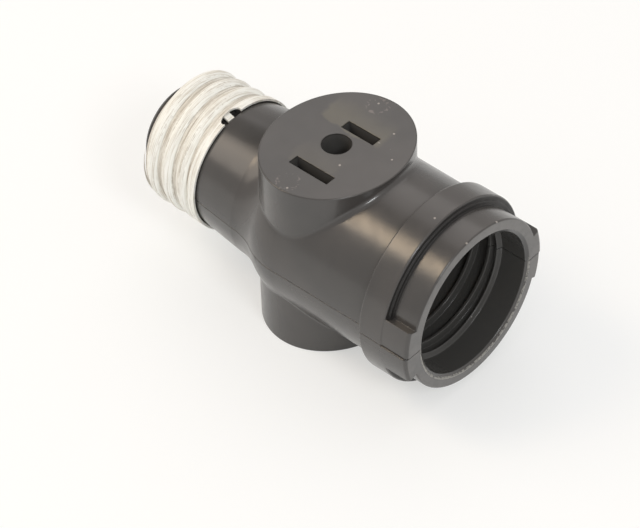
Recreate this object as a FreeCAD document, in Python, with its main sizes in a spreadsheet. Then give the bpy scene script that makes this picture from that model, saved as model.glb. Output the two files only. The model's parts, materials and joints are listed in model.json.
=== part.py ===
import FreeCAD, Part

import os
import re

import Sketcher

# Lamp socket adapter with two outlets.
# It screws into a medium base lamp holder, carries a lamp in its open end, and has a two-slot
# polarised outlet on its top and on its underside.
# All lengths are in millimetres. X runs along the screw axis towards the open lamp socket and
# Z up through the upper outlet. The object lies on the face of its lower outlet: the frame's
# origin is on that face, under the outlets' centre holes.
# Inside the functions below, places are measured from the point on the screw axis between the
# two centre holes. The placement of every piece lifts it by axis_height.

SIZES = {
    # Outer form of the moulded body, which is parted level with the screw axis
    "barrel_radius": 17.0,
    "barrel_taper": 0.2,
    "outlet_to_collar": 21.0,
    "collar_width": 5.3,
    "rim_length": 5.6,
    "collar_rise": 1.25,
    "ledge_height": 0.8,
    "ledge_length": 0.3,
    "rim_drop": 0.5,
    "outlet_to_flare": 1.0,
    "flare_length": 12.6,
    "flare_rise": 3.4,
    "neck_length": 9.5,
    "edge_round": 0.35,
    # Oval outlet bosses
    "boss_rise": 1.4,
    "boss_inset": 1.98,
    "boss_half_along": 12.81,
    "boss_shift": 0.26,
    "lower_boss_back": 0.42,
    "lower_boss_aside": 0.45,
    "boss_fillet": 1.1,
    "face_round": 0.2,
    "boss_wall": 2.2,
    "face_thickness": 2.6,
    # Lugs at the mouth
    "lug_height": 1.5,
    "lug_round": 0.7,
    "lug_half_angle": 18.0,
    "upper_lug_aside": 0.15,
    "lower_lug_aside": 0.4,
    # Fine groove where the two halves meet
    "seam_depth": 0.12,
    "seam_half_width": 0.08,
    # Lamp socket
    "mouth_wall": 2.0,
    "mouth_chamfer": 0.68,
    "mouth_chamfer_depth": 0.45,
    "entry_length": 5.62,
    "end_ring_height": 0.95,
    "end_ring_width": 0.85,
    "thread_depth": 1.2,
    "socket_depth": 21.9,
    "floor_thickness": 2.0,
    "thread_pitch": 3.629,
    "thread_flank": 0.4,
    "socket_rib_crest_width": 0.5,
    "socket_groove_phase": 22.43,
    "socket_groove_floor_rise": 0.05,
    # Blade slots
    "slot_spacing": 12.7,
    "slot_width": 2.16,
    "neutral_slot_length": 8.77,
    "hot_slot_length": 7.38,
    "slot_shift_along": 1.29,
    "slot_shift_across": -1.42,
    # Centre holes and the rivet that holds the halves together
    "recess_radius": 2.74,
    "recess_depth": 5.5,
    "recess_wall": 1.5,
    "pillar_wall": 1.2,
    "rivet_radius": 1.6,
    "rivet_clearance": 0.1,
    "rivet_head_width": 0.9,
    "rivet_head_height": 1.1,
    # Neck and spigot inside the male screw shell
    "neck_gap": 0.22,
    "spigot_gap": 0.33,
    "spigot_chamfer": 1.2,
    "neck_wall": 2.6,
    "rib_thickness": 1.6,
    "rib_place": 14.0,
    # Male screw shell
    "shell_thickness": 0.4,
    "shell_length": 14.3,
    "shell_band_length": 1.5,
    "shell_root_radius": 12.33,
    "shell_band_height": 0.85,
    "shell_ridge_height": 0.77,
    "shell_ridge_width": 3.0,
    "shell_ridge_phase": 28.66,
    "shell_end_length": 1.5,
    "shell_end_drop": 1.6,
    "shell_lip_width": 1.1,
    # Notch punched into the shell's rim, with its tongue bent down to hold the shell on the neck
    "stake_aside": 2.1,
    "stake_half_length": 2.3,
    "stake_half_width": 1.15,
    "stake_tongue_width": 1.5,
    "stake_tongue_drop": 0.5,
    "stake_tongue_gap": 0.35,
    # Insulator and contact at the tip
    "tip_flange_thickness": 0.8,
    "tip_clearance": 0.2,
    "tip_nose_length": 2.2,
    "tip_nose_chamfer": 0.9,
    "tip_contact_radius": 4.6,
    "tip_contact_height": 1.5,
    "tip_shank_radius": 1.9,
    "tip_clinch_width": 1.0,
    "tip_clinch_height": 0.6,
    # Metal strips in the parting plane
    "strip_thickness": 0.6,
    "strip_clearance": 0.3,
    "hot_strip_width": 4.2,
    "hot_strip_bend": 7.0,
    "neutral_strip_width": 5.0,
    "neutral_neck_edge": 4.4,
    "side_tab_length": 8.0,
    "side_tab_height": 3.4,
    "shell_tab_length": 4.0,
    "shell_tab_height": 2.0,
    "shell_tab_place": 28.0,
    "riser_height": 6.2,
    # Spring contacts and their rivets
    "spring_thickness": 0.4,
    "jaw_width": 6.5,
    "jaw_height": 11.4,
    "jaw_base_gap": 2.2,
    "jaw_pinch_gap": 1.1,
    "jaw_lip_gap": 2.6,
    "jaw_lip_height": 2.8,
    "jaw_rivet_radius": 1.0,
    "jaw_rivet_head": 0.45,
    "tongue_reach": 2.8,
    "tongue_rivet_radius": 0.9,
    "tongue_rivet_head_width": 0.8,
    "tongue_rivet_head_height": 0.6,
}

# Places and radii worked out from the sizes, as formulas that may use one another
PLACES = {
    "axis_height": "(barrel_radius + boss_rise)",
    "collar_radius": "(barrel_radius + collar_rise)",
    "rim_radius": "(barrel_radius - rim_drop)",
    "lug_inner": "(rim_radius - mouth_wall / 2)",
    "lug_radius": "(rim_radius + lug_height)",
    "boss_half_across": "(barrel_radius - boss_inset)",
    "outside": "(barrel_radius * 2)",
    "collar_front": "(outlet_to_collar + collar_width)",
    "ledge_front": "(collar_front + ledge_length)",
    "mouth": "(collar_front + rim_length)",
    "flare_front": "(0 - outlet_to_flare)",
    "flare_middle": "(flare_front - flare_length / 2)",
    "flare_back": "(flare_front - flare_length)",
    "flare_arc": "((flare_length * flare_length + flare_rise * flare_rise) / (4 * flare_rise))",
    "neck_radius": "(barrel_radius - flare_rise)",
    "rim": "(flare_back - neck_length)",
    "shell_inner_root": "(shell_root_radius - shell_thickness)",
    "shell_band_radius": "(shell_root_radius + shell_band_height)",
    "shell_inner_band": "(shell_band_radius - shell_thickness)",
    "shell_crest_radius": "(shell_root_radius + shell_ridge_height)",
    "shell_band_end": "(rim - shell_band_length)",
    "shell_slope_end": "(shell_band_end - shell_band_height)",
    "shell_end": "(rim - shell_length)",
    "shell_inner_end": "(shell_end + shell_thickness)",
    "shell_shoulder": "(shell_end + shell_end_length)",
    "shell_end_radius": "(shell_root_radius - shell_end_drop)",
    "shell_opening": "(shell_end_radius - shell_lip_width)",
    "stake_back": "(rim - 1.4 * stake_half_width)",
    "stake_place": "(rim - 0.4 * stake_half_width)",
    "stake_tongue_top": "(shell_inner_band - shell_thickness / 2)",
    "neck_rim_radius": "(shell_inner_band - neck_gap)",
    "spigot_radius": "(shell_inner_root - spigot_gap)",
    "spigot_end": "(shell_inner_end + tip_flange_thickness)",
    "ledge_radius": "(rim_radius + ledge_height)",
    "mouth_radius": "(rim_radius - mouth_wall)",
    "bore_radius": "(mouth_radius - mouth_chamfer)",
    "crest_radius": "(bore_radius - thread_depth)",
    "thread_start": "(mouth - entry_length)",
    "end_ring_back": "(thread_start - end_ring_width)",
    "groove_floor": "(bore_radius - socket_groove_floor_rise)",
    "groove_floor_width": "(groove_top_width - 2 * thread_flank)",
    "groove_top_width": "(thread_pitch - socket_rib_crest_width)",
    "groove_start": "(socket_groove_phase - 2 * thread_pitch)",
    "socket_floor": "(mouth - socket_depth)",
    "chamber_front": "(socket_floor - floor_thickness)",
    "chamber_back": "(boss_shift - boss_half_along + boss_wall)",
    "chamber_middle": "((chamber_front + chamber_back) / 2)",
    "chamber_half_along": "((chamber_front - chamber_back) / 2)",
    "chamber_half_across": "(boss_half_across - boss_wall)",
    "neck_bore_radius": "(spigot_radius - neck_wall)",
    "chamber_roof": "(axis_height - face_thickness)",
    "rib_back": "(0 - rib_place - rib_thickness / 2)",
    "rib_front": "(0 - rib_place + rib_thickness / 2)",
    "recess_floor": "(axis_height - recess_depth)",
    "rivet_hole_radius": "(rivet_radius + rivet_clearance)",
    "pillar_radius": "(rivet_hole_radius + pillar_wall)",
    "recess_boss_radius": "(recess_radius + recess_wall)",
    "recess_boss_bottom": "(recess_floor - pillar_wall / 2)",
    "hot_y": "(slot_shift_across + slot_spacing / 2)",
    "neutral_y": "(slot_shift_across - slot_spacing / 2)",
    "strip_top": "(strip_thickness / 2)",
    "hot_edge": "(pillar_radius + strip_clearance)",
    "hot_outer": "(hot_edge + hot_strip_width)",
    "neutral_edge": "(neutral_y + neutral_strip_width / 2)",
    "neutral_outer": "(neutral_y - neutral_strip_width / 2)",
    "neck_edge": "(0 - neck_bore_radius + strip_clearance)",
    "side_tab": "(0 - bore_radius + strip_clearance * 2)",
    "side_tab_end": "(socket_floor + strip_clearance + side_tab_length)",
    "shell_tab": "(0 - shell_inner_root + strip_clearance)",
    "shell_tab_back": "(0 - shell_tab_place - shell_tab_length / 2)",
    "shell_tab_front": "(0 - shell_tab_place + shell_tab_length / 2)",
    "riser_front": "(socket_floor + strip_thickness)",
    "tongue_front": "(riser_front + spring_thickness)",
    "tongue_rivet_y": "(hot_edge + hot_strip_width / 2)",
    "tongue_rivet_z": "(riser_height - hot_strip_width / 2)",
    "tongue_rivet_head_radius": "(tongue_rivet_radius + tongue_rivet_head_width)",
    "tip_nose_radius": "(shell_opening - tip_clearance)",
    "tip_nose_end": "(shell_end - tip_nose_length)",
    "tip_flange_radius": "(shell_end_radius - shell_thickness - tip_clearance)",
    "flange_front": "(spigot_end + strip_thickness)",
    "clinch_radius": "(tip_shank_radius + tip_clinch_width)",
    "flange_radius": "(clinch_radius + tip_clinch_width)",
}

# How many turns each helix is swept through
SOCKET_GROOVE_TURNS = "3.4"
SHELL_RIDGE_TURNS = "4.5"
SHELL_GROOVE_TURNS = "1.5"

ALIAS = re.compile(r"[a-z][a-z_]*[a-z]")
ORIGIN = (-1, 1)
X_AXIS = "H_Axis"
Z_AXIS = "V_Axis"

document = FreeCAD.newDocument("socket_adapter")
sheet = document.addObject("Spreadsheet::Sheet", "sizes")
for row, (alias, size) in enumerate(SIZES.items(), start=1):
    sheet.set("A%d" % row, alias)
    sheet.set("B%d" % row, str(size))
    sheet.setAlias("B%d" % row, alias)
document.recompute()


def formula(text, prefix="sizes."):
    """The text with each place written out in full and each size read from the sheet."""
    def expand(match):
        name = match.group(0)
        if name in SIZES:
            return prefix + name
        if name in PLACES:
            return formula(PLACES[name], prefix)
        return name
    return ALIAS.sub(expand, str(text))


def value(text):
    """The present value of a formula, in millimetres."""
    result = sheet.evalExpression(formula(text, prefix=""))
    return float(getattr(result, "Value", result))


def bind(thing, name, text):
    thing.setExpression(name, formula(text))


# Sketches

def new_sketch(body, name, plane, offset=None):
    """A sketch on one of the body's origin planes, moved along that plane's normal."""
    support = [item for item in body.Origin.OriginFeatures if item.Role == plane][0]
    sketch = body.newObject("Sketcher::SketchObject", body.Name + "_" + name)
    sketch.AttachmentSupport = [(support, "")]
    sketch.MapMode = "FlatFace"
    if offset is not None:
        bind(sketch, "AttachmentOffset.Base.z", offset)
    return sketch


def constrain(sketch, kind, arguments, text):
    index = sketch.addConstraint(Sketcher.Constraint(kind, *arguments, value(text)))
    bind(sketch, "Constraints[%d]" % index, text)


def fix_point(sketch, geometry, end, x, y):
    constrain(sketch, "DistanceX", (*ORIGIN, geometry, end), x)
    constrain(sketch, "DistanceY", (*ORIGIN, geometry, end), y)


def arc_between(start, end, radius, side):
    """The short arc from start to end, with its centre to the left (side 1) or right (-1)."""
    chord = end - start
    middle = (start + end) / 2
    across = FreeCAD.Vector(-chord.y, chord.x, 0).normalize()
    centre = middle + across * side * (radius * radius - chord.Length ** 2 / 4) ** 0.5
    circle = Part.Circle(centre, FreeCAD.Vector(0, 0, 1), radius)
    first, last = (start, end) if side > 0 else (end, start)
    return Part.ArcOfCircle(circle, circle.parameter(first), circle.parameter(last))


def outline(sketch, corners):
    """A closed outline. A corner is (x, y), or (x, y, radius, side) where an arc follows it."""
    points = [FreeCAD.Vector(value(corner[0]), value(corner[1]), 0) for corner in corners]
    ends = []
    for place, corner in enumerate(corners):
        start = points[place]
        end = points[(place + 1) % len(points)]
        if len(corner) == 2:
            index = sketch.addGeometry(Part.LineSegment(start, end))
            ends.append((index, 1, 2))
        else:
            arc = arc_between(start, end, value(corner[2]), corner[3])
            index = sketch.addGeometry(arc)
            ends.append((index, 1, 2) if corner[3] > 0 else (index, 2, 1))
    for place, (index, first, last) in enumerate(ends):
        after, after_first, after_last = ends[(place + 1) % len(ends)]
        sketch.addConstraint(Sketcher.Constraint("Coincident", index, last, after, after_first))
    for (index, first, last), corner in zip(ends, corners):
        fix_point(sketch, index, first, corner[0], corner[1])
        if len(corner) > 2:
            constrain(sketch, "Radius", (index,), corner[2])


def mirrored(corners):
    """The same outline on the other side of the sketch's X axis."""
    return [(corner[0], "0 - (%s)" % corner[1], *corner[2:3], *[-side for side in corner[3:]])
            for corner in corners]


def rectangle(sketch, left, right, bottom, top):
    outline(sketch, [(left, bottom), (right, bottom), (right, top), (left, top)])


def circle(sketch, x, y, radius):
    centre = FreeCAD.Vector(value(x), value(y), 0)
    index = sketch.addGeometry(Part.Circle(centre, FreeCAD.Vector(0, 0, 1), value(radius)))
    fix_point(sketch, index, 3, x, y)
    constrain(sketch, "Radius", (index,), radius)


def ellipse(sketch, x, y, half_along, half_across):
    """An ellipse with its axes along the sketch's axes."""
    centre = FreeCAD.Vector(value(x), value(y), 0)
    along = FreeCAD.Vector(value(half_along), 0, 0)
    across = FreeCAD.Vector(0, value(half_across), 0)
    if along.Length > across.Length:
        curve = Part.Ellipse(centre + along, centre + across, centre)
        major_end = (x + " + " + half_along, y)
        minor_end = ("DistanceY", y + " + " + half_across)
    else:
        curve = Part.Ellipse(centre + across, centre - along, centre)
        major_end = (x, y + " + " + half_across)
        minor_end = ("DistanceX", x + " - " + half_along)
    index = sketch.addGeometry(curve)
    sketch.exposeInternalGeometry(index)
    fix_point(sketch, index, 3, x, y)
    fix_point(sketch, index + 1, 1, *major_end)
    constrain(sketch, minor_end[0], (*ORIGIN, index + 2, 1), minor_end[1])


# Features

def new_body(name):
    body = document.addObject("PartDesign::Body", name)
    body.Label = name
    bind(body, "Placement.Base.z", "axis_height")
    return body


def extrude(body, kind, sketch, length, flip=False):
    feature = body.newObject("PartDesign::" + kind, sketch.Name + "_" + kind.lower())
    feature.Profile = sketch
    feature.Reversed = flip
    bind(feature, "Length", length)
    return feature


def turn(body, kind, sketch, axis=X_AXIS, angle="360", flip=False):
    feature = body.newObject("PartDesign::" + kind, sketch.Name + "_" + kind.lower())
    feature.Profile = sketch
    feature.ReferenceAxis = (sketch, [axis])
    feature.Reversed = flip
    bind(feature, "Angle", angle)
    return feature


def helix(body, kind, sketch, pitch, turns):
    feature = body.newObject("PartDesign::" + kind, sketch.Name + "_" + kind.lower())
    feature.Profile = sketch
    feature.ReferenceAxis = (sketch, [X_AXIS])
    feature.Mode = "pitch-turns-angle"
    bind(feature, "Pitch", pitch)
    bind(feature, "Turns", turns)
    return feature


# The two moulded halves of the body

def barrel_profile(inset):
    """The outer line from the screw shell's rim to the foot of the collar, moved inwards."""
    return [
        ("rim", "neck_rim_radius - " + inset),
        ("flare_back", "neck_radius - " + inset, "flare_arc", 1),
        ("flare_middle", "neck_radius + flare_rise / 2 - " + inset, "flare_arc", -1),
        ("flare_front", "barrel_radius - " + inset),
        ("outlet_to_collar + " + inset, "barrel_radius - barrel_taper - " + inset),
    ]


def outer_form(body, side):
    """Half a turn of the outer profile, from the spigot in the screw shell to the mouth."""
    profile = new_sketch(body, "profile", "XY_Plane")
    outline(profile, [
        ("spigot_end", "0"),
        ("spigot_end", "spigot_radius - spigot_chamfer"),
        ("spigot_end + spigot_chamfer", "spigot_radius"),
        ("shell_band_end", "spigot_radius"),
        ("shell_band_end", "neck_rim_radius"),
        *barrel_profile("0"),
        ("outlet_to_collar", "collar_radius - edge_round", "edge_round", -1),
        ("outlet_to_collar + edge_round", "collar_radius"),
        ("collar_front - edge_round", "collar_radius", "edge_round", -1),
        ("collar_front", "collar_radius - edge_round"),
        ("collar_front", "ledge_radius"),
        ("ledge_front", "ledge_radius"),
        ("ledge_front", "rim_radius"),
        ("mouth - edge_round", "rim_radius", "edge_round", -1),
        ("mouth", "rim_radius - edge_round"),
        ("mouth", "0"),
    ])
    turn(body, "Revolution", profile, angle="180", flip=side < 0)


def outlet_boss(body, side):
    """The oval boss, standing from the parting plane to the outlet's face."""
    oval = new_sketch(body, "boss", "XY_Plane")
    ellipse(oval, *boss_centre(side), "boss_half_along", "boss_half_across")
    boss = extrude(body, "Pad", oval, "axis_height", flip=side < 0)
    round_boss_edges(body, boss, "foot", "boss_fillet", side)
    round_boss_edges(body, body.Tip, "face", "face_round", side)


def boss_centre(side):
    """The lower boss sits a little off the place of the upper one."""
    if side > 0:
        return "boss_shift", "0"
    return "boss_shift - lower_boss_back", "0 - lower_boss_aside"


def round_boss_edges(body, feature, name, radius, side):
    """Rounds the edges at the boss's face, or those where its wall meets the barrel and neck."""
    document.recompute()
    fillet = body.newObject("PartDesign::Fillet", "%s_boss_%s" % (body.Name, name))
    fillet.Base = (feature, boss_edges(feature.Shape, name == "face", side))
    bind(fillet, "Radius", radius)


def boss_edges(shape, at_face, side):
    """Names of the edges on the boss's wall that lie in its face, or of those that don't."""
    x, y = boss_centre(side)
    names = []
    for number, edge in enumerate(shape.Edges, start=1):
        wanted = True
        for point in edge.discretize(5):
            along = (point.x - value(x)) / value("boss_half_along")
            across = (point.y - value(y)) / value("boss_half_across")
            in_face = abs(point.z) > value("axis_height - face_round / 2")
            on_wall = abs(along ** 2 + across ** 2 - 1) < 0.001
            wanted = wanted and on_wall and in_face == at_face
        if wanted:
            names.append("Edge%d" % number)
    return names


def mouth_lugs(body, side):
    """Half of each of the two lugs beside the mouth, on the parting plane."""
    for near in (False, True):
        outer = lug_outer(near, side)
        corners = [
            ("collar_front - edge_round", "lug_inner"),
            ("mouth", "lug_inner"),
            ("mouth", outer + " - lug_round", "lug_round", 1),
            ("mouth - lug_round", outer),
            ("collar_front - edge_round", outer),
        ]
        section = new_sketch(body, "near_lug" if near else "far_lug", "XY_Plane")
        outline(section, mirrored(corners) if near else corners)
        flip = side > 0 if near else side < 0
        turn(body, "Revolution", section, angle="lug_half_angle", flip=flip)


def lug_outer(near, side):
    """The lugs of each half stand a little towards -Y, the near side."""
    aside = "upper_lug_aside" if side > 0 else "lower_lug_aside"
    return "lug_radius %s %s" % ("+" if near else "-", aside)


def lamp_socket(body, side):
    """The bore for the lamp's base, with its moulded thread."""
    bore = new_sketch(body, "bore", "XY_Plane")
    outline(bore, [
        ("socket_floor", "0"),
        ("socket_floor", "crest_radius"),
        ("end_ring_back", "crest_radius"),
        ("end_ring_back", "bore_radius"),
        ("mouth - mouth_chamfer_depth", "bore_radius"),
        ("mouth", "mouth_radius"),
        ("mouth + rim_length", "mouth_radius"),
        ("mouth + rim_length", "0"),
    ])
    turn(body, "Groove", bore)
    section = new_sketch(body, "thread", "XY_Plane")
    outline(section, [
        ("groove_start - groove_top_width / 2", "crest_radius - thread_depth / 4"),
        ("groove_start - groove_top_width / 2", "crest_radius"),
        ("groove_start - groove_floor_width / 2", "groove_floor"),
        ("groove_start + groove_floor_width / 2", "groove_floor"),
        ("groove_start + groove_top_width / 2", "crest_radius"),
        ("groove_start + groove_top_width / 2", "crest_radius - thread_depth / 4"),
    ])
    helix(body, "SubtractiveHelix", section, "thread_pitch", SOCKET_GROOVE_TURNS)
    ring = new_sketch(body, "end_ring", "XY_Plane")
    outline(ring, [
        ("end_ring_back", "bore_radius + mouth_wall / 2"),
        ("end_ring_back", "bore_radius"),
        ("end_ring_back + thread_flank / 2", "bore_radius - end_ring_height"),
        ("thread_start - thread_flank", "bore_radius - end_ring_height"),
        ("thread_start", "bore_radius"),
        ("thread_start", "bore_radius + mouth_wall / 2"),
    ])
    turn(body, "Revolution", ring, angle="180", flip=side < 0)


def stake_recess(body):
    """The flat-bottomed hollow in the neck under the tongue of the shell's notch."""
    recess = new_sketch(body, "stake_recess", "XY_Plane", "barrel_radius")
    rectangle(recess, "shell_band_end - shell_thickness", "rim",
              "0 - stake_aside - stake_half_length", "stake_half_length - stake_aside")
    extrude(body, "Pocket", recess, "barrel_radius - spigot_radius + spigot_gap / 2")


def contact_chamber(body, side):
    """The hollow that holds the contacts, the rivet's pillar and the hollow neck."""
    oval = new_sketch(body, "chamber", "XY_Plane")
    ellipse(oval, "chamber_middle", "0", "chamber_half_along", "chamber_half_across")
    extrude(body, "Pocket", oval, "chamber_roof", flip=side > 0)
    neck = new_sketch(body, "neck_bore", "XY_Plane")
    rectangle(neck, "spigot_end - boss_wall", "rib_back", "0", "neck_bore_radius")
    rectangle(neck, "rib_front", "chamber_back + boss_wall * 2", "0", "neck_bore_radius")
    turn(body, "Groove", neck)
    pillar = new_sketch(body, "pillar", "XY_Plane")
    circle(pillar, "0", "0", "pillar_radius")
    extrude(body, "Pad", pillar, "axis_height - face_thickness / 2", flip=side < 0)
    boss = new_sketch(body, "recess_boss", "XY_Plane", upward("recess_boss_bottom", side))
    circle(boss, "0", "0", "recess_boss_radius")
    height = "axis_height - face_thickness / 2 - recess_boss_bottom"
    extrude(body, "Pad", boss, height, flip=side < 0)


def upward(height, side):
    """A height away from the parting plane, to the side of the named half."""
    return height if side > 0 else "0 - " + height


def outlet_openings(body, side):
    """The two blade slots, the recess of the centre hole and the rivet's hole."""
    face = upward("axis_height", side)
    slots = new_sketch(body, "slots", "XY_Plane", face)
    for across, length in (("hot_y", "hot_slot_length"), ("neutral_y", "neutral_slot_length")):
        rectangle(slots,
                  "slot_shift_along - %s / 2" % length, "slot_shift_along + %s / 2" % length,
                  "%s - slot_width / 2" % across, "%s + slot_width / 2" % across)
    extrude(body, "Pocket", slots, "axis_height - recess_boss_bottom", flip=side < 0)
    recess = new_sketch(body, "recess", "XY_Plane", face)
    circle(recess, "0", "0", "recess_radius")
    extrude(body, "Pocket", recess, "recess_depth", flip=side < 0)
    hole = new_sketch(body, "rivet_hole", "XY_Plane", face)
    circle(hole, "0", "0", "rivet_hole_radius")
    extrude(body, "Pocket", hole, "axis_height", flip=side < 0)


def strip_channels(body, side):
    """Shallow channels in the parting face, where the halves pinch the metal strips."""
    channels = new_sketch(body, "channels", "XY_Plane")
    wall_back = "chamber_front - chamber_half_along / 2"
    wall_front = "socket_floor + strip_clearance"
    rectangle(channels, wall_back, wall_front,
              "hot_edge - strip_clearance", "hot_outer + strip_clearance")
    rectangle(channels, wall_back, wall_front,
              "neutral_outer - strip_clearance", "neutral_edge + strip_clearance")
    rib_behind = "rib_back - strip_clearance"
    rib_before = "rib_front + strip_clearance"
    rectangle(channels, rib_behind, rib_before,
              "0 - hot_strip_width / 2 - strip_clearance", "hot_outer + strip_clearance")
    rectangle(channels, rib_behind, rib_before,
              "neck_edge - strip_clearance", "0 - neutral_neck_edge + strip_clearance")
    rectangle(channels, "shell_tab_back - strip_clearance", "shell_tab_front + strip_clearance",
              "0 - neck_radius", "neck_edge")
    extrude(body, "Pocket", channels, "strip_top", flip=side > 0)
    window = new_sketch(body, "side_tab_window", "XY_Plane")
    rectangle(window, "socket_floor", "side_tab_end + strip_clearance * 2",
              "0 - bore_radius", "strip_clearance - crest_radius")
    depth = "side_tab_height + strip_clearance" if side > 0 else "strip_top"
    extrude(body, "Pocket", window, depth, flip=side > 0)
    if side > 0:
        flat = new_sketch(body, "shell_tab_flat", "XY_Plane")
        rectangle(flat, "shell_tab_back - strip_clearance", "shell_tab_front + strip_clearance",
                  "0 - neck_radius", "shell_tab + strip_thickness")
        extrude(body, "Pocket", flat, "shell_tab_height + strip_clearance", flip=True)
        pocket = new_sketch(body, "tongue_rivet_pocket", "YZ_Plane", "socket_floor")
        circle(pocket, "tongue_rivet_y", "tongue_rivet_z",
               "tongue_rivet_head_radius + strip_clearance")
        extrude(body, "Pocket", pocket, "tongue_rivet_head_height + strip_clearance")


def seam_groove(body, side):
    """Takes the sharp edge off the parting face, outside and in the lamp socket."""
    for near in (False, True):
        lug = lug_outer(near, side)
        corners = barrel_profile("seam_depth") + [
            ("outlet_to_collar + seam_depth", "collar_radius - seam_depth"),
            ("collar_front - seam_depth", "collar_radius - seam_depth"),
            ("collar_front - seam_depth", lug + " - seam_depth"),
            ("mouth - lug_round - seam_depth", lug + " - seam_depth", "lug_round", -1),
            ("mouth - seam_depth", lug + " - lug_round - seam_depth"),
            ("mouth - seam_depth", "bore_radius + seam_depth"),
            ("socket_floor", "bore_radius + seam_depth"),
            ("socket_floor", "seam_depth"),
            ("outside", "seam_depth"),
            ("outside", "outside"),
            ("rim", "outside"),
        ]
        groove = new_sketch(body, "near_seam" if near else "far_seam", "XY_Plane")
        outline(groove, mirrored(corners) if near else corners)
        extrude(body, "Pocket", groove, "seam_half_width", flip=side > 0)


def body_half(name, side):
    body = new_body(name)
    outer_form(body, side)
    outlet_boss(body, side)
    mouth_lugs(body, side)
    lamp_socket(body, side)
    if side > 0:
        stake_recess(body)
    contact_chamber(body, side)
    outlet_openings(body, side)
    strip_channels(body, side)
    seam_groove(body, side)


# The male end: screw shell, insulator and tip contact

def male_screw_shell():
    """A shell rolled from sheet: a plain band, three turns of thread and a turned-in end."""
    body = new_body("male_screw_shell")
    wall = new_sketch(body, "wall", "XY_Plane")
    outline(wall, [
        ("rim", "shell_inner_band"),
        ("rim", "shell_band_radius"),
        ("shell_band_end", "shell_band_radius"),
        ("shell_slope_end", "shell_root_radius"),
        ("shell_shoulder", "shell_root_radius"),
        ("shell_end", "shell_end_radius"),
        ("shell_end", "shell_opening"),
        ("shell_inner_end", "shell_opening"),
        ("shell_inner_end", "shell_end_radius - shell_thickness"),
        ("shell_shoulder", "shell_inner_root"),
        ("shell_slope_end", "shell_inner_root"),
        ("shell_band_end", "shell_inner_band"),
    ])
    turn(body, "Revolution", wall)
    ridge = new_sketch(body, "ridge", "XY_Plane")
    thread_section(ridge, "0 - shell_ridge_phase - 3 * thread_pitch",
                   "shell_root_radius - shell_thickness / 4", "shell_crest_radius")
    helix(body, "AdditiveHelix", ridge, "thread_pitch", SHELL_RIDGE_TURNS)
    trim = new_sketch(body, "trim", "XY_Plane")
    outline(trim, [
        ("rim", "shell_band_radius"),
        ("rim", "barrel_radius"),
        ("shell_end - 2 * thread_pitch", "barrel_radius"),
        ("shell_end - 2 * thread_pitch", "shell_opening"),
        ("shell_end", "shell_opening"),
        ("shell_end", "shell_end_radius"),
        ("shell_shoulder", "shell_crest_radius"),
        ("shell_band_end", "shell_band_radius"),
    ])
    turn(body, "Groove", trim)
    inside = new_sketch(body, "inside", "XY_Plane")
    outline(inside, [
        ("shell_slope_end", "0"),
        ("shell_slope_end", "shell_inner_root"),
        ("shell_band_end", "shell_inner_band"),
        ("rim", "shell_inner_band"),
        ("rim", "barrel_radius"),
        ("rim + 2 * thread_pitch", "barrel_radius"),
        ("rim + 2 * thread_pitch", "0"),
    ])
    turn(body, "Groove", inside)
    groove = new_sketch(body, "groove", "XY_Plane")
    thread_section(groove, "0 - shell_ridge_phase - thread_pitch",
                   "shell_inner_root - shell_thickness / 4",
                   "shell_crest_radius - shell_thickness")
    helix(body, "SubtractiveHelix", groove, "thread_pitch", SHELL_GROOVE_TURNS)
    stake = new_sketch(body, "stake", "XY_Plane", "barrel_radius")
    ellipse(stake, "stake_place", "0 - stake_aside", "stake_half_width", "stake_half_length")
    extrude(body, "Pocket", stake, "barrel_radius - shell_inner_root + shell_thickness")
    tongue = new_sketch(body, "stake_tongue", "XZ_Plane", "stake_aside - stake_tongue_width / 2")
    behind = "stake_back - shell_thickness / 2"
    outline(tongue, [
        (behind, "stake_tongue_top - shell_thickness"),
        ("rim - stake_tongue_gap", "stake_tongue_top - stake_tongue_drop - shell_thickness"),
        ("rim - stake_tongue_gap", "stake_tongue_top - stake_tongue_drop"),
        (behind, "stake_tongue_top"),
    ])
    extrude(body, "Pad", tongue, "stake_tongue_width")


def thread_section(sketch, middle, foot, crest):
    """A rounded ridge: two short flanks and an arc over the crest."""
    half = "shell_ridge_width / 2"
    rise = "(%s - %s)" % (crest, foot)
    arc = "((%s * %s + %s * %s) / (2 * %s))" % (half, half, rise, rise, rise)
    outline(sketch, [
        ("%s - %s" % (middle, half), foot, arc, -1),
        (middle, crest, arc, -1),
        ("%s + %s" % (middle, half), foot),
    ])


def tip_insulator():
    """The moulded disc that the shell's end holds, with its nose through the opening."""
    body = new_body("tip_insulator")
    section = new_sketch(body, "section", "XY_Plane")
    bore = "tip_shank_radius + rivet_clearance"
    outline(section, [
        ("spigot_end", bore),
        ("spigot_end", "tip_flange_radius"),
        ("shell_inner_end", "tip_flange_radius"),
        ("shell_inner_end", "tip_nose_radius"),
        ("tip_nose_end + tip_nose_chamfer", "tip_nose_radius"),
        ("tip_nose_end", "tip_nose_radius - tip_nose_chamfer"),
        ("tip_nose_end", bore),
    ])
    turn(body, "Revolution", section)


def tip_contact():
    """The brass rivet at the tip: a domed head, a shank and a clinched end on the strip."""
    body = new_body("tip_contact")
    section = new_sketch(body, "section", "XY_Plane")
    dome = ("((tip_contact_radius * tip_contact_radius + tip_contact_height"
            " * tip_contact_height) / (2 * tip_contact_height))")
    outline(section, [
        ("tip_nose_end - tip_contact_height", "0", dome, -1),
        ("tip_nose_end", "tip_contact_radius"),
        ("tip_nose_end", "tip_shank_radius"),
        ("flange_front", "tip_shank_radius"),
        ("flange_front", "clinch_radius"),
        ("flange_front + tip_clinch_height", "clinch_radius"),
        ("flange_front + tip_clinch_height", "0"),
    ])
    turn(body, "Revolution", section)


# The live and neutral strips, which lie in the parting plane

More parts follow.
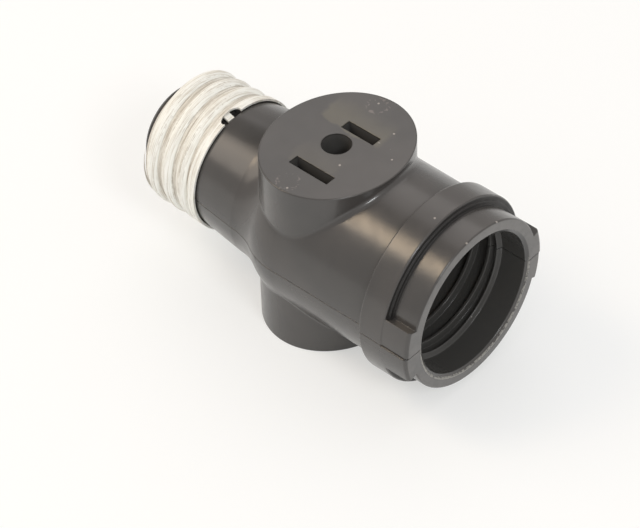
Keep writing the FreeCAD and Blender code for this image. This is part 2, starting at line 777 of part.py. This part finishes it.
def hot_strip():
    """From the tip contact along the neck, past the rivet's pillar, to the lamp's tongue."""
    body = new_body("hot_strip")
    plan = new_sketch(body, "plan", "XY_Plane", "0 - strip_top")
    half = "hot_strip_width / 2"
    outline(plan, [
        ("spigot_end", "0 - " + half),
        ("rib_back", "0 - " + half),
        ("rib_back + hot_strip_bend", "hot_edge"),
        ("riser_front", "hot_edge"),
        ("riser_front", "hot_outer"),
        ("rib_back + hot_strip_bend / 2", "hot_outer"),
        ("rib_back - hot_strip_bend / 2", half),
        ("spigot_end", half),
    ])
    extrude(body, "Pad", plan, "strip_thickness")
    fork = new_sketch(body, "fork", "XY_Plane", "0 - strip_top")
    fork_end = "flange_front + tip_clinch_height + tip_clinch_width * 2"
    rectangle(fork, "spigot_end", fork_end, "0 - flange_radius", "flange_radius")
    extrude(body, "Pad", fork, "strip_thickness")
    flange = new_sketch(body, "flange", "YZ_Plane", "spigot_end")
    circle(flange, "0", "0", "flange_radius")
    extrude(body, "Pad", flange, "strip_thickness")
    opening = new_sketch(body, "fork_opening", "XY_Plane", "strip_top")
    rectangle(opening, "flange_front", "flange_front + tip_clinch_height + strip_clearance",
              "0 - clinch_radius - strip_clearance", "clinch_radius + strip_clearance")
    extrude(body, "Pocket", opening, "strip_thickness")
    riser = new_sketch(body, "riser", "YZ_Plane", "socket_floor")
    rectangle(riser, "hot_edge", "hot_outer", "0 - strip_top", "riser_height")
    extrude(body, "Pad", riser, "strip_thickness")
    tip_hole = new_sketch(body, "tip_hole", "YZ_Plane", "flange_front")
    circle(tip_hole, "0", "0", "tip_shank_radius + rivet_clearance")
    extrude(body, "Pocket", tip_hole, "strip_thickness")
    tongue_hole = new_sketch(body, "tongue_hole", "YZ_Plane", "riser_front")
    circle(tongue_hole, "tongue_rivet_y", "tongue_rivet_z",
           "tongue_rivet_radius + rivet_clearance")
    extrude(body, "Pocket", tongue_hole, "strip_thickness")
    jaw_hole(body, "hot_y")


def neutral_strip():
    """From the screw shell, through the neck's wall, to the tab at the lamp's shell."""
    body = new_body("neutral_strip")
    plan = new_sketch(body, "plan", "XY_Plane", "0 - strip_top")
    outline(plan, [
        ("shell_tab_back", "shell_tab"),
        ("shell_tab_front", "shell_tab"),
        ("shell_tab_front", "neck_edge"),
        ("chamber_back + boss_wall * 2", "neck_edge"),
        ("chamber_back + boss_wall * 3", "neutral_outer"),
        ("socket_floor + strip_clearance", "neutral_outer"),
        ("socket_floor + strip_clearance", "side_tab"),
        ("socket_floor + neutral_strip_width", "side_tab"),
        ("socket_floor + neutral_strip_width / 2", "neutral_edge"),
        ("chamber_back + boss_wall * 3", "neutral_edge"),
        ("chamber_back + boss_wall * 2", "0 - neutral_neck_edge"),
        ("shell_tab_back", "0 - neutral_neck_edge"),
    ])
    extrude(body, "Pad", plan, "strip_thickness")
    shell_tab = new_sketch(body, "shell_tab", "XY_Plane", "0 - strip_top")
    rectangle(shell_tab, "shell_tab_back", "shell_tab_front",
              "shell_tab", "shell_tab + strip_thickness")
    extrude(body, "Pad", shell_tab, "shell_tab_height + strip_top")
    side_tab = new_sketch(body, "side_tab", "XY_Plane", "0 - strip_top")
    rectangle(side_tab, "socket_floor + strip_clearance", "side_tab_end",
              "side_tab", "side_tab + strip_thickness")
    extrude(body, "Pad", side_tab, "side_tab_height + strip_top")
    jaw_hole(body, "neutral_y")


def jaw_hole(body, across):
    """The hole in a strip for the rivet that carries a pair of jaws."""
    hole = new_sketch(body, "jaw_hole", "XY_Plane", "strip_top")
    circle(hole, "slot_shift_along", across, "jaw_rivet_radius + rivet_clearance")
    extrude(body, "Pocket", hole, "strip_thickness")


# The spring contacts

def blade_jaw(name, across, side):
    """A spring folded into a jaw: a base on the strip, two leaves that pinch, flared lips."""
    body = new_body(name)
    section = new_sketch(body, "section", "YZ_Plane", "slot_shift_along - jaw_width / 2")
    foot = upward("strip_top", side)
    base = upward("(strip_top + spring_thickness)", side)
    pinch = upward("(strip_top + jaw_height - jaw_lip_height)", side)
    lip = upward("(strip_top + jaw_height)", side)
    gaps = (("jaw_base_gap", base), ("jaw_pinch_gap", pinch), ("jaw_lip_gap", lip))
    inner = [("%s / 2" % gap, height) for gap, height in gaps]
    outer = [("(%s / 2 + spring_thickness)" % gap, height) for gap, height in gaps]
    outer[0] = (outer[0][0], foot)
    right = outer + inner[::-1]
    left = inner + outer[::-1]
    outline(section,
            [("%s + %s" % (across, reach), height) for reach, height in right]
            + [("%s - %s" % (across, reach), height) for reach, height in left])
    extrude(body, "Pad", section, "jaw_width")
    hole = new_sketch(body, "rivet_hole", "XY_Plane", base)
    circle(hole, "slot_shift_along", across, "jaw_rivet_radius + rivet_clearance")
    extrude(body, "Pocket", hole, "spring_thickness", flip=side < 0)


def jaw_rivet(name, across):
    """One rivet through a strip and the bases of its two jaws."""
    body = new_body(name)
    grip = "(strip_top + spring_thickness)"
    shank = new_sketch(body, "shank", "XY_Plane", "0 - " + grip)
    circle(shank, "slot_shift_along", across, "jaw_rivet_radius")
    extrude(body, "Pad", shank, "2 * " + grip)
    for end, side in (("upper", 1), ("lower", -1)):
        head = new_sketch(body, end + "_head", "XY_Plane", upward(grip, side))
        circle(head, "slot_shift_along", across, "jaw_base_gap / 2 - spring_thickness / 4")
        extrude(body, "Pad", head, "jaw_rivet_head", flip=side < 0)


def lamp_centre_contact():
    """The tongue that presses on the lamp's centre contact, riveted to the live strip."""
    body = new_body("lamp_centre_contact")
    half = "(hot_strip_width / 2)"
    base = new_sketch(body, "base", "YZ_Plane", "riser_front")
    rectangle(base, "hot_edge", "hot_outer", "0 - " + half, "riser_height")
    extrude(body, "Pad", base, "spring_thickness")
    arm = new_sketch(body, "arm", "XY_Plane", "0 - " + half)
    crest = "riser_front + tongue_reach"
    outline(arm, [
        ("riser_front", "hot_edge + spring_thickness"),
        ("riser_front", "hot_edge"),
        (crest + " - spring_thickness", "pillar_radius / 4"),
        (crest + " - spring_thickness", "0 - pillar_radius / 4"),
        ("riser_front + tongue_reach / 2", "0 - pillar_radius"),
        ("riser_front + tongue_reach / 2 + spring_thickness", "0 - pillar_radius"),
        (crest, "0 - pillar_radius / 4"),
        (crest, "pillar_radius / 4"),
        ("tongue_front", "hot_edge + spring_thickness"),
    ])
    extrude(body, "Pad", arm, "hot_strip_width")
    hole = new_sketch(body, "rivet_hole", "YZ_Plane", "tongue_front")
    circle(hole, "tongue_rivet_y", "tongue_rivet_z", "tongue_rivet_radius + rivet_clearance")
    extrude(body, "Pocket", hole, "spring_thickness")


def tongue_rivet():
    body = new_body("tongue_rivet")
    shank = new_sketch(body, "shank", "YZ_Plane", "socket_floor")
    circle(shank, "tongue_rivet_y", "tongue_rivet_z", "tongue_rivet_radius")
    extrude(body, "Pad", shank, "strip_thickness + spring_thickness")
    for name, place, flip in (("back_head", "socket_floor", True),
                              ("front_head", "tongue_front", False)):
        head = new_sketch(body, name, "YZ_Plane", place)
        circle(head, "tongue_rivet_y", "tongue_rivet_z", "tongue_rivet_head_radius")
        extrude(body, "Pad", head, "tongue_rivet_head_height", flip=flip)


def body_rivet():
    """The rivet through both pillars, with a domed head in each centre hole."""
    body = new_body("body_rivet")
    section = new_sketch(body, "section", "XZ_Plane")
    head = "(rivet_radius + rivet_head_width)"
    dome = ("((%s * %s + rivet_head_height * rivet_head_height) / (2 * rivet_head_height))"
            % (head, head))
    outline(section, [
        ("0", "0 - recess_floor - rivet_head_height", dome, 1),
        (head, "0 - recess_floor"),
        ("rivet_radius", "0 - recess_floor"),
        ("rivet_radius", "recess_floor"),
        (head, "recess_floor", dome, 1),
        ("0", "recess_floor + rivet_head_height"),
    ])
    turn(body, "Revolution", section, axis=Z_AXIS)


body_half("upper_body_half", 1)
body_half("lower_body_half", -1)
male_screw_shell()
tip_insulator()
tip_contact()
hot_strip()
neutral_strip()
for outlet, outlet_side in (("upper", 1), ("lower", -1)):
    blade_jaw(outlet + "_hot_jaw", "hot_y", outlet_side)
    blade_jaw(outlet + "_neutral_jaw", "neutral_y", outlet_side)
jaw_rivet("hot_jaw_rivet", "hot_y")
jaw_rivet("neutral_jaw_rivet", "neutral_y")
lamp_centre_contact()
tongue_rivet()
body_rivet()
document.recompute()

# Every object is checked before any piece is written
for item in document.Objects:
    if "Invalid" in item.State or "Error" in item.State:
        raise RuntimeError("%s did not build: %s" % (item.Name, item.State))
pieces = [item for item in document.Objects if item.TypeId == "PartDesign::Body"]
for piece in pieces:
    if piece.Shape.isNull() or not piece.Shape.isValid():
        raise RuntimeError("%s has no valid shape" % piece.Label)

os.makedirs("parts", exist_ok=True)
for piece in pieces:
    piece.Shape.exportStep("parts/%s.step" % piece.Label)
    print("%-22s %3d solid %9.1f mm3" % (piece.Label, len(piece.Shape.Solids),
                                         piece.Shape.Volume))
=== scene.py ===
import json

import bpy
from mathutils import Matrix, Vector

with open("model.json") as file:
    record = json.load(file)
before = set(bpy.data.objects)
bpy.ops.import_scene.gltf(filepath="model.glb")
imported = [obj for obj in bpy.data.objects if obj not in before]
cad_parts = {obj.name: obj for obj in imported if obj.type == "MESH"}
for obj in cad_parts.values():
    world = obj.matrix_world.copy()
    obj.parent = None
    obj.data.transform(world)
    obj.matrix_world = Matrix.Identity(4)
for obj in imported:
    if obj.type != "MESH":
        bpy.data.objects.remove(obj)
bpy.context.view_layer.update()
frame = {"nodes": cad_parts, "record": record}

nodes = frame["nodes"]
scene = bpy.context.scene

# Places on the object, in metres
AXIS = 0.0184
FACE = 0.0368
MOUTH = 0.0319
COLLAR_FRONT = 0.0263
SHELL_BAND = -0.0250
SOCKET_FLOOR = 0.0135
SOCKET_RADIUS = 0.0140
SLOTS_MIDDLE = 0.0013
FACE_MARKS = ((0.0003, -0.0127, FACE), (-0.0012, 0.0122, FACE))
SPECKS = (
    (0.0041, -0.0037, FACE),
    (0.0058, 0.0085, FACE),
    (0.0100, 0.0032, FACE),
    (-0.0016, 0.0128, FACE),
    (0.0249, -0.00285, 0.03642),
    (0.0317, -0.0026, 0.0346),
    (0.0317, 0.0053, 0.0339),
    (0.0012, -0.0139, FACE),
    (-0.0122, -0.0101, 0.0212),
)
# Start and end in X, front edge in Y and share of each patch of bloom behind a slot
BLOOM = ((-0.0072, 0.0062, 0.0044, 0.8), (-0.0036, 0.0054, -0.0076, 0.3))

# Colours of the moulded plastic
BLACK_DARK = (0.042, 0.040, 0.038)
BLACK_LIGHT = (0.053, 0.049, 0.046)
# Painted light that lifts the shade in the lamp socket, slots and centre holes
SOCKET_PAINTED_LIFT = (0.060, 0.059, 0.056)
CAVITY_PAINTED_LIFT = (0.082, 0.080, 0.076)
BLOOM_YELLOW = (0.092, 0.084, 0.062)
RING_FLECK = (0.20, 0.17, 0.16)
SPECK = (0.36, 0.33, 0.30)
DUST = (0.36, 0.34, 0.31)
# Painted shade for the step in front of the collar
STEP_PAINTED_SHADE = (0.010, 0.009, 0.008)
MOUTH_END_PALE = (0.112, 0.107, 0.102)
# Pale marks on the lower lip, part scuffing and part painted highlight
SCUFF_AND_HIGHLIGHT = (0.40, 0.39, 0.35)

# Colours of the screw shell
SHELL_DARK = (0.66, 0.63, 0.56)
SHELL_LIGHT = (0.90, 0.91, 0.87)
SHELL_LINES = (0.44, 0.40, 0.34)
VALLEY_DARKER = (0.36, 0.31, 0.25)

PLASTIC_IOR = 1.65
EDGE_ROUND = 0.00025


class Shader:
    """Builds the nodes of one node tree."""

    def __init__(self, tree):
        self.tree = tree

    def node(self, kind, inputs=(), **settings):
        made = self.tree.nodes.new("ShaderNode" + kind)
        for key, value in settings.items():
            setattr(made, key, value)
        for key, value in dict(inputs).items():
            self.put(made.inputs[key], value)
        return made

    def put(self, socket, value):
        """Links a socket to another one, or gives it a constant."""
        if isinstance(value, bpy.types.NodeSocket):
            self.tree.links.new(value, socket)
        else:
            socket.default_value = value

    def place(self):
        return self.node("TexCoord").outputs["Object"]

    def noise(self, place, scale, detail, rough=0.55):
        inputs = {"Vector": place, "Scale": scale, "Detail": detail, "Roughness": rough}
        return self.node("TexNoise", inputs).outputs["Fac"]

    def streaks(self, place, along, across, detail, rough=0.55):
        """Noise that is fine along X and long across it, so it runs round the screw axis."""
        inputs = {"Vector": place, "Scale": (along, across, across)}
        return self.noise(self.node("Mapping", inputs).outputs["Vector"], 1.0, detail, rough)

    def spread(self, value, low, high, to_low=0.0, to_high=1.0):
        """Maps low..high smoothly to to_low..to_high."""
        inputs = {"Value": value, "From Min": low, "From Max": high,
                  "To Min": to_low, "To Max": to_high}
        return self.node("MapRange", inputs, interpolation_type="SMOOTHSTEP").outputs["Result"]

    def beyond(self, value, limit, soft):
        """One where the value is over the limit, with a soft edge over it."""
        return self.spread(value, limit, limit + soft)

    def inside(self, value, limit, soft):
        """One where the value is under the limit, with a soft edge under it."""
        return self.spread(value, limit, limit - soft)

    def maths(self, operation, *values):
        made = self.node("Math", operation=operation)
        for place, value in enumerate(values):
            self.put(made.inputs[place], value)
        return made.outputs[0]

    def away(self, place, point):
        """Distance from a point."""
        made = self.node("VectorMath", {0: place, 1: point}, operation="DISTANCE")
        return made.outputs["Value"]

    def every(self, *masks):
        """The product of several masks."""
        product = masks[0]
        for mask in masks[1:]:
            product = self.maths("MULTIPLY", product, mask)
        return product

    def blend(self, share, first, second):
        """A mix of two colours, each of them a socket or three numbers."""
        made = self.node("Mix", {0: share}, data_type="RGBA")
        for key, value in ((6, first), (7, second)):
            constant = not isinstance(value, bpy.types.NodeSocket)
            self.put(made.inputs[key], (*value, 1.0) if constant else value)
        return made.outputs[2]

    def tint(self, colour, mask, share, new):
        """The colour, changed to a new one by a share of the mask."""
        return self.blend(self.maths("MULTIPLY", mask, share), colour, new)

    def bump(self, height, distance, strength, **normal):
        inputs = {"Height": height, "Distance": distance, "Strength": strength, **normal}
        return self.node("Bump", inputs).outputs["Normal"]

    def axes(self, place):
        """X, Y, height over the screw axis, and distance from the screw axis."""
        parts = self.node("SeparateXYZ", {"Vector": place}).outputs
        height = self.maths("SUBTRACT", parts["Z"], AXIS)
        square = self.maths("ADD", self.maths("MULTIPLY", parts["Y"], parts["Y"]),
                            self.maths("MULTIPLY", height, height))
        return parts["X"], parts["Y"], height, self.maths("SQRT", square)

    def finish(self, **inputs):
        """The surface, linked to the output."""
        named = {key.replace("_", " "): value for key, value in inputs.items()}
        surface = self.node("BsdfPrincipled", named).outputs[0]
        out = self.node("OutputMaterial").inputs[0]
        self.tree.links.new(surface, out)
        return surface, out


def new_material(name):
    material = bpy.data.materials.new(name)
    material.use_nodes = True
    material.node_tree.nodes.clear()
    return material, Shader(material.node_tree)


# Materials

def black_plastic():
    material, s = new_material("black_moulded_plastic")
    place = s.place()
    x, y, height, radius = s.axes(place)
    broad = s.noise(place, 70.0, 2.0)
    mottle = s.noise(place, 420.0, 3.0)
    fine = s.noise(place, 1600.0, 2.0)
    colour = s.blend(s.spread(broad, 0.35, 0.65), BLACK_DARK, BLACK_LIGHT)

    # Painted light: the plastic is made lighter in the lamp socket, and more so in the slots and
    # centre holes, to lift the shade there
    socket = s.every(s.inside(radius, SOCKET_RADIUS, 0.0001), s.beyond(x, SOCKET_FLOOR, 0.0005))
    colour = s.blend(socket, colour, SOCKET_PAINTED_LIFT)
    along = s.maths("ABSOLUTE", s.maths("SUBTRACT", x, SLOTS_MIDDLE))
    deep = s.every(s.inside(s.maths("ABSOLUTE", height), AXIS - 0.0002, 0.0002),
                   s.inside(along, 0.0052, 0.0002),
                   s.inside(s.maths("ABSOLUTE", y), 0.0096, 0.0002))
    colour = s.blend(deep, colour, CAVITY_PAINTED_LIFT)

    # Dull yellowish bloom behind both slots of the upper face
    level = s.beyond(height, FACE - AXIS - 0.0002, 0.0001)
    for start, end, edge, share in BLOOM:
        wander = s.maths("MULTIPLY", s.noise(place, 260.0, 3.0), 0.0024)
        along = s.maths("ADD", x, wander)
        across = s.maths("ADD", y, wander)
        patch = s.every(level, s.beyond(along, start, 0.0012), s.inside(along, end + 0.0016, 0.0016),
                        s.beyond(across, edge, 0.0008), s.inside(across, edge + 0.0085, 0.0060))
        colour = s.tint(colour, patch, share, BLOOM_YELLOW)

    # Faint speckled rings that the ejector pins left near the ends of the face
    fleck = s.spread(s.noise(place, 1300.0, 2.0), 0.52, 0.66)
    for point in FACE_MARKS:
        off = s.away(place, point)
        ring = s.every(s.beyond(off, 0.0013, 0.0004), s.inside(off, 0.0024, 0.0004), fleck)
        colour = s.tint(colour, ring, 0.55, RING_FLECK)

    # Single light specks of ragged outline, and a little dust
    for point in SPECKS:
        ragged = s.maths("ADD", s.away(place, point), s.maths("MULTIPLY", fine, 0.0003))
        colour = s.tint(colour, s.inside(ragged, 0.00042, 0.00016), 0.8, SPECK)
    dust = s.spread(s.noise(place, 1100.0, 0.0), 0.895, 0.915)
    colour = s.tint(colour, dust, 0.45, DUST)

    # Painted shade in the step in front of the collar
    step = s.every(s.beyond(x, COLLAR_FRONT - 0.00015, 0.0001),
                   s.inside(x, COLLAR_FRONT + 0.0010, 0.0006),
                   s.inside(radius, 0.01815, 0.00025), s.beyond(radius, 0.0155, 0.0003))
    colour = s.tint(colour, step, 0.9, STEP_PAINTED_SHADE)

    # The flat end of the mouth is paler than the moulded skin, unevenly
    end = s.every(s.beyond(x, MOUTH - 0.00006, 0.00004), s.beyond(radius, 0.0136, 0.0001))
    uneven = s.spread(mottle, 0.25, 0.7, 0.55, 0.95)
    colour = s.blend(s.every(end, uneven), colour, MOUTH_END_PALE)

    # The lower lip of the mouth is scuffed along its chamfer; the pale marks there are part
    # scuffing, part painted highlight
    lip = s.every(s.beyond(x, MOUTH - 0.00020, 0.00008), s.inside(radius, 0.01475, 0.00015),
                  s.inside(height, 0.002, 0.004))
    scuff_and_highlight = s.every(lip, s.spread(s.noise(place, 1500.0, 4.0, 0.75), 0.42, 0.54))
    colour = s.tint(colour, scuff_and_highlight, 0.6, SCUFF_AND_HIGHLIGHT)

    rough = s.spread(mottle, 0.3, 0.7, 0.20, 0.26)
    dull = s.maths("MULTIPLY", s.maths("MAXIMUM", scuff_and_highlight, step), 0.3)
    soft = s.node("Bevel", {"Radius": EDGE_ROUND}, samples=6).outputs["Normal"]
    relief = s.maths("ADD", s.maths("MULTIPLY", fine, 0.25), mottle)
    relief = s.maths("ADD", relief, s.maths("MULTIPLY", scuff_and_highlight, 3.0))
    s.finish(Base_Color=colour, Roughness=s.maths("ADD", rough, dull), IOR=PLASTIC_IOR,
             Normal=s.bump(relief, 0.000012, 0.6, Normal=soft))
    return material


def aluminium():
    material, s = new_material("brushed_aluminium_shell")
    place = s.place()
    x, y, height, radius = s.axes(place)
    lines = s.streaks(place, 4200.0, 110.0, 3.0, 0.8)
    blotch = s.streaks(place, 600.0, 150.0, 3.0, 0.6)
    tone = s.maths("ADD", s.maths("MULTIPLY", lines, 0.75), s.maths("MULTIPLY", blotch, 0.25))
    colour = s.blend(s.spread(tone, 0.36, 0.56), SHELL_DARK, SHELL_LIGHT)

    # Thin dark lines run round the shell, more of them in some places than in others
    thin = s.every(s.spread(s.streaks(place, 5200.0, 60.0, 1.0), 0.56, 0.64),
                   s.spread(s.noise(place, 900.0, 3.0, 0.7), 0.42, 0.56))
    colour = s.tint(colour, thin, 0.55, SHELL_LINES)

    # Darker, browner colour in the valleys of the thread, but not on the plain band at the rim
    valley = s.every(s.inside(radius, 0.01252, 0.00016), s.inside(x, SHELL_BAND, 0.0006),
                     s.spread(lines, 0.40, 0.58))
    colour = s.tint(colour, valley, 0.75, VALLEY_DARKER)
    s.finish(Base_Color=colour, Metallic=0.3, Roughness=s.spread(tone, 0.3, 0.7, 0.80, 0.68),
             Normal=s.bump(lines, 0.00004, 0.6))
    return material


def metal(name, dark, light, rough):
    material, s = new_material(name)
    tone = s.noise(s.place(), 300.0, 4.0)
    s.finish(Base_Color=s.blend(s.spread(tone, 0.3, 0.7), dark, light), Metallic=1.0,
             Roughness=s.spread(tone, 0.3, 0.7, rough, rough + 0.12),
             Normal=s.bump(tone, 0.00002, 0.3))
    return material


def tip_plastic():
    material, s = new_material("black_tip_insulator")
    tone = s.noise(s.place(), 500.0, 4.0)
    s.finish(Base_Color=s.blend(tone, (0.018, 0.017, 0.016), (0.03, 0.028, 0.027)), IOR=1.5,
             Roughness=s.spread(tone, 0.3, 0.7, 0.45, 0.6), Normal=s.bump(tone, 0.00003, 0.4))
    return material


materials = {
    "black_moulded_plastic": black_plastic(),
    "brushed_aluminium_shell": aluminium(),
    "black_tip_insulator": tip_plastic(),
    "brass_contact": metal("brass_contact", (0.55, 0.40, 0.19), (0.72, 0.56, 0.28), 0.3),
    "brass_strip": metal("brass_strip", (0.52, 0.38, 0.18), (0.70, 0.55, 0.28), 0.35),
    "spring_bronze": metal("spring_bronze", (0.50, 0.32, 0.18), (0.70, 0.47, 0.28), 0.32),
    "steel_rivet": metal("steel_rivet", (0.10, 0.10, 0.10), (0.2, 0.2, 0.2), 0.4),
}
for sub in frame["record"]["subparts"]:
    thing = nodes[sub["node"]]
    thing.data.materials.clear()
    thing.data.materials.append(materials[sub["material_slot"]])


# Floor

FLOOR_HALF = 3.0
FLOOR_DARK = (0.91, 0.93, 0.945)
FLOOR_LIGHT = (0.92, 0.94, 0.955)
FLOOR_GLOW = (1.0, 1.0, 0.98, 1.0)
GLOW_SHARE = 0.5


def floor_material():
    """Warm white, which the camera and reflections see partly as white card lit from behind."""
    material, s = new_material("floor")
    tone = s.noise(s.place(), 6.0, 2.0)
    paper, out = s.finish(Base_Color=s.blend(tone, FLOOR_DARK, FLOOR_LIGHT), Roughness=0.9)
    ray = s.node("LightPath").outputs
    seen = s.maths("ADD", s.maths("ADD", ray["Is Camera Ray"], ray["Is Glossy Ray"]),
                   ray["Is Transmission Ray"])
    glow = s.node("Emission", {"Color": FLOOR_GLOW, "Strength": 1.0}).outputs[0]
    share = s.maths("MULTIPLY", seen, GLOW_SHARE)
    mixed = s.node("MixShader", {0: share, 1: paper, 2: glow}).outputs[0]
    s.tree.links.new(mixed, out)
    return material


corners = [(-FLOOR_HALF, -FLOOR_HALF, 0), (FLOOR_HALF, -FLOOR_HALF, 0),
           (FLOOR_HALF, FLOOR_HALF, 0), (-FLOOR_HALF, FLOOR_HALF, 0)]
floor_mesh = bpy.data.meshes.new("floor")
floor_mesh.from_pydata(corners, [], [(0, 1, 2, 3)])
floor = bpy.data.objects.new("floor", floor_mesh)
scene.collection.objects.link(floor)
floor_mesh.materials.append(floor_material())


# Light

WORLD_STRENGTH = 0.69
WORLD_COLOUR = (1.0, 0.965, 0.94)

world = bpy.data.worlds.new("studio")
scene.world = world
world.use_nodes = True
background = world.node_tree.nodes["Background"]
background.inputs["Strength"].default_value = WORLD_STRENGTH


def dark_patch(towards, tight, wide, share):
    """The world's colour, with one broad darker place, which the neck and barrel reflect."""
    s = Shader(world.node_tree)
    place = s.node("TexCoord").outputs["Generated"]
    facing = s.node("VectorMath", {0: place, 1: Vector(towards).normalized()},
                    operation="DOT_PRODUCT").outputs["Value"]
    amount = s.maths("MULTIPLY", s.spread(facing, wide, tight), share)
    s.put(background.inputs["Color"], s.blend(amount, WORLD_COLOUR, (0.0, 0.0, 0.0)))


dark_patch((-0.64, 0.16, 0.75), 0.985, 0.93, 0.5)


def lamp(name, towards, distance, size, power, colour):
    """An area lamp that looks at the middle of the object."""
    data = bpy.data.lights.new(name, "AREA")
    data.shape = "RECTANGLE"
    data.size, data.size_y = size
    data.energy = power
    data.color = colour
    thing = bpy.data.objects.new(name, data)
    scene.collection.objects.link(thing)
    back = Vector(towards).normalized()
    thing.location = Vector((0, 0, AXIS)) + back * distance
    thing.rotation_mode = "QUATERNION"
    thing.rotation_quaternion = back.to_track_quat("Z", "Y")


lamp("key", (-0.49, -0.36, 0.79), 0.8, (0.24, 0.22), 1.0, (1.0, 0.78, 0.54))
lamp("side", (-0.70, -0.38, 0.60), 0.8, (0.46, 0.40), 1.15, (1.0, 0.88, 0.75))
lamp("front", (0.69, -0.27, 0.69), 0.8, (0.20, 0.20), 1.6, (0.96, 0.98, 1.0))
lamp("top", (-0.3, 0.5, 0.8), 1.0, (0.7, 0.7), 1.15, (1.0, 0.95, 0.93))


# Camera, fitted to the photograph

CAMERA_RIGHT = (0.73997, 0.67228, -0.02214)
CAMERA_UP = (-0.45402, 0.52347, 0.72100)
CAMERA_BACK = (0.49630, -0.52346, 0.69258)
CAMERA_SPOT = (0.260723, -0.280072, 0.375460)

camera_data = bpy.data.cameras.new("camera")
camera_data.sensor_width = 36.0
camera_data.lens = 165.663
camera_data.clip_start = 0.02
camera_data.clip_end = 20.0
camera = bpy.data.objects.new("camera", camera_data)
scene.collection.objects.link(camera)
rows = list(zip(CAMERA_RIGHT, CAMERA_UP, CAMERA_BACK, CAMERA_SPOT))
camera.matrix_world = Matrix([*rows, (0, 0, 0, 1)])
scene.camera = camera

scene.view_settings.view_transform = "Standard"
